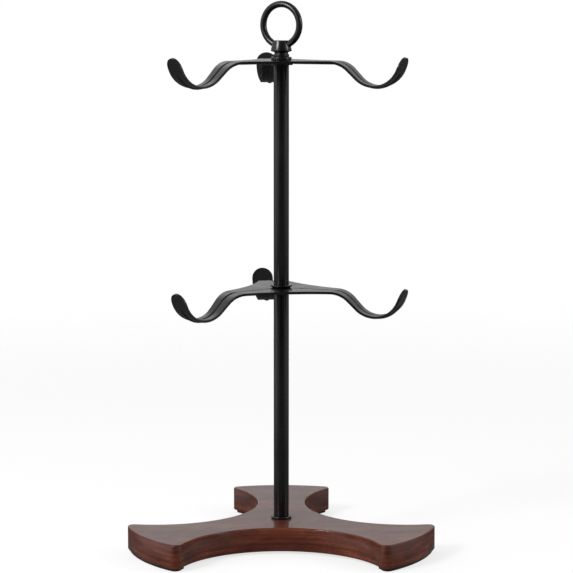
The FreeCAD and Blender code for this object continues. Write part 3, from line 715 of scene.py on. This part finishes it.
# %% Make the bolt and washer
HEX_FLATS, SHANK = 10, 3
hex_corner = HEX_FLATS / math.sqrt(3) * MM
foot, head = heights("base_bolt")
head_top = heights("base_washer")[0]
bm = bmesh.new()
bmesh.ops.create_cone(bm, cap_ends=True, segments=6, radius1=hex_corner, radius2=hex_corner,
                      depth=(head_top - foot) * MM,
                      matrix=Matrix.Translation((0, 0, (foot + head_top) / 2 * MM)))
round_edges(bm, rim_at(bm, foot * MM), 0.55 * MM, 2)
upright = [e for e in sharp_edges(bm, 50) if abs(e.verts[0].co.z - e.verts[1].co.z) > 1 * MM]
round_edges(bm, upright, 0.15 * MM, 2)
bmesh.ops.create_cone(bm, cap_ends=True, segments=48, radius1=SHANK * MM, radius2=SHANK * MM,
                      depth=(head - head_top) * MM,
                      matrix=Matrix.Translation((0, 0, (head + head_top) / 2 * MM)))
make_piece(bm, "base_bolt", "base_bolt", flat_sides=True)
turned("base_washer", "base_washer", sleeve(BOLT_HOLE, WASHER, *heights("base_washer")), 0.3)

# %% [markdown]
# The pads, the stud and the other plugs are simple and mostly out of sight, so they keep
# their CAD shape and only get a finish.

# %% Dress the CAD nodes
for name in nodes:
    for slot in nodes[name].material_slots:
        slot.material = FINISHES[SLOT_OF[name]]
print("CAD nodes that keep their shape:", sorted(n for n in nodes if not nodes[n].hide_render))

# %% [markdown]
# ## The floor
# The floor is a plain pale disc. It fades out well beyond the object and can't be seen
# from below, so that its rim never shows, and it is left out of reflections, because
# the studio's surround already gives the black gloss something to mirror.

# %% Lay the floor
FLOOR_REACH, FADE_FROM, FADE_TO = 1.6, 0.55, 1.5
bm = bmesh.new()
bmesh.ops.create_circle(bm, cap_ends=True, segments=128, radius=FLOOR_REACH)
mesh = bpy.data.meshes.new("floor")
bm.to_mesh(mesh)
bm.free()
floor = bpy.data.objects.new("floor", mesh)
bpy.context.scene.collection.objects.link(floor)
floor.visible_glossy = False
print("floor", 2 * FLOOR_REACH, "m across")

# %% Make the floor's paper
PAPER, PAPER_GLOW, GLOW_SHARE = (0.82, 0.82, 0.82, 1), 1.2, 0.6
paper = finish("pale_paper")
distance = paper.add("ShaderNodeVectorMath", {"operation": "LENGTH"},
                     {0: paper.add("ShaderNodeTexCoord", out="Object")}, "Value")
fade = paper.between(distance, FADE_FROM, FADE_TO)
sheet = paper.add("ShaderNodeBsdfPrincipled", None, {
    "Base Color": PAPER, "Roughness": 0.9, "Specular IOR Level": 0.0})
white = paper.add("ShaderNodeEmission", None, {"Strength": PAPER_GLOW})
clear = paper.add("ShaderNodeBsdfTransparent")
under = paper.add("ShaderNodeNewGeometry", out="Backfacing")
seen = paper.add("ShaderNodeLightPath", out="Is Camera Ray")
sheet = paper.add("ShaderNodeMixShader", None, {0: seen * GLOW_SHARE, 1: sheet, 2: white})
through = (fade + under * seen).clamped()
paper.add("ShaderNodeOutputMaterial", None, {
    "Surface": paper.add("ShaderNodeMixShader", None, {0: through, 1: sheet, 2: clear})})
floor.data.materials.append(paper.owner)
print("paper", len(paper.tree.nodes), "nodes")

# %% [markdown]
# ## The surround
# Black gloss shows only what it mirrors, so the shape of the surround is what draws the
# post and the hooks: bright walls to the left and right, a screen behind that is bright
# near the ground and again higher up, and darkness where the camera stands. It is
# painted by direction in the world's shader, which is lighter than a built room.

# %% Paint the surround
# brightness from straight behind (0), round the sides, to where the camera stands (1)
WALLS = [(0.0, 0.02), (0.10, 0.04), (0.22, 0.28), (0.36, 0.84),
         (0.56, 0.98), (0.72, 0.74), (0.84, 0.36), (1.0, 0.01)]
RIGHT_SHARE, CEILING, GROUND = 0.66, 0.25, 0.12
room = bpy.data.worlds.new("studio")
bpy.context.scene.world = room
air = Finish(room)
split = air.add("ShaderNodeSeparateXYZ", None, {0: air.add("ShaderNodeTexCoord", out="Generated")})
aside, back, above = (Signal(air.tree, way) for way in split.socket.node.outputs)
walls = air.add("ShaderNodeValToRGB", {"stops": [(place, (tone,) * 3) for place, tone in WALLS]},
                {"Fac": 0.5 - back * 0.5})
walls = walls * air.between(aside, -0.4, 0.5, 1.0, RIGHT_SHARE)
behind = air.between(back, 0.35, 0.85) * air.between(above, 0.01, 0.10)
screen = (0.95 - air.between(above, 0.11, 0.18) * 0.50 + air.between(above, 0.28, 0.50) * 0.85
          - aside * 0.20)
walls = walls * (1 - behind) + behind * screen
ceiling = air.between(above, 0.80, 0.95)
ground = air.between(0 - above, 0.11, 0.34)
walls = walls * (1 - ceiling) + ceiling * CEILING
walls = walls * (1 - ground) + ground * GROUND
print("surround", len(air.tree.nodes), "nodes")

# %% [markdown]
# The camera itself sees plain white, and only light and reflections see the walls. The
# world's shader chooses between the two by the kind of ray.

# %% Show white to the camera
lit = air.add("ShaderNodeBackground", None, {"Color": (1, 1, 1, 1), "Strength": walls})
plain = air.add("ShaderNodeBackground", None, {"Color": (1, 1, 1, 1), "Strength": 1.0})
camera_ray = air.add("ShaderNodeLightPath", out="Is Camera Ray")
air.add("ShaderNodeOutputWorld", None, {
    "Surface": air.add("ShaderNodeMixShader", None, {0: camera_ray, 1: lit, 2: plain})})
print("world", room.name, len(air.tree.nodes), "nodes")

# %% [markdown]
# ## Lamps and camera
# A soft box high on the left is the main light and a weaker one on the right fills the
# shadows. Both face the middle of the post. The camera stands well back with a long
# lens, so that the post's sides stay nearly parallel, and looks slightly down.

# %% Hang the soft boxes
AIM = Vector((0, 0, 0.25))


def soft_box(name, azimuth, elevation, away, wide, tall, power):
    """An area light that faces the post, azimuth counted from the front to the right."""
    data = bpy.data.lights.new(name, "AREA")
    data.shape, data.size, data.size_y, data.energy = "RECTANGLE", wide, tall, power
    lamp = bpy.data.objects.new(name, data)
    turn, lift = math.radians(azimuth), math.radians(elevation)
    way = Vector((math.sin(turn) * math.cos(lift), -math.cos(turn) * math.cos(lift),
                  math.sin(lift)))
    lamp.location = AIM + way * away
    lamp.rotation_euler = (AIM - lamp.location).to_track_quat("-Z", "Y").to_euler()
    bpy.context.scene.collection.objects.link(lamp)
    print("soft box", name, power, "W")


soft_box("key", azimuth=-50, elevation=28, away=1.5, wide=0.36, tall=0.46, power=13)
soft_box("fill", azimuth=74, elevation=22, away=1.5, wide=0.35, tall=0.45, power=4)

# %% Place the camera
FRAME, FOCAL, ASIDE = 573, 2288.4, 5.2
EYE, LOOK_DOWN = (0, -1.7857, 0.4363), 7.322
data = bpy.data.cameras.new("camera")
data.sensor_fit, data.sensor_width = "HORIZONTAL", 36
data.lens, data.shift_x = FOCAL / FRAME * data.sensor_width, ASIDE / FRAME
data.clip_end = 50
camera = bpy.data.objects.new("camera", data)
camera.location = EYE
camera.rotation_euler = (math.radians(90 - LOOK_DOWN), 0, 0)
bpy.context.scene.collection.objects.link(camera)
bpy.context.scene.camera = camera
bpy.context.scene.view_settings.view_transform = "Standard"
print("camera", round(data.lens, 1), "mm lens")
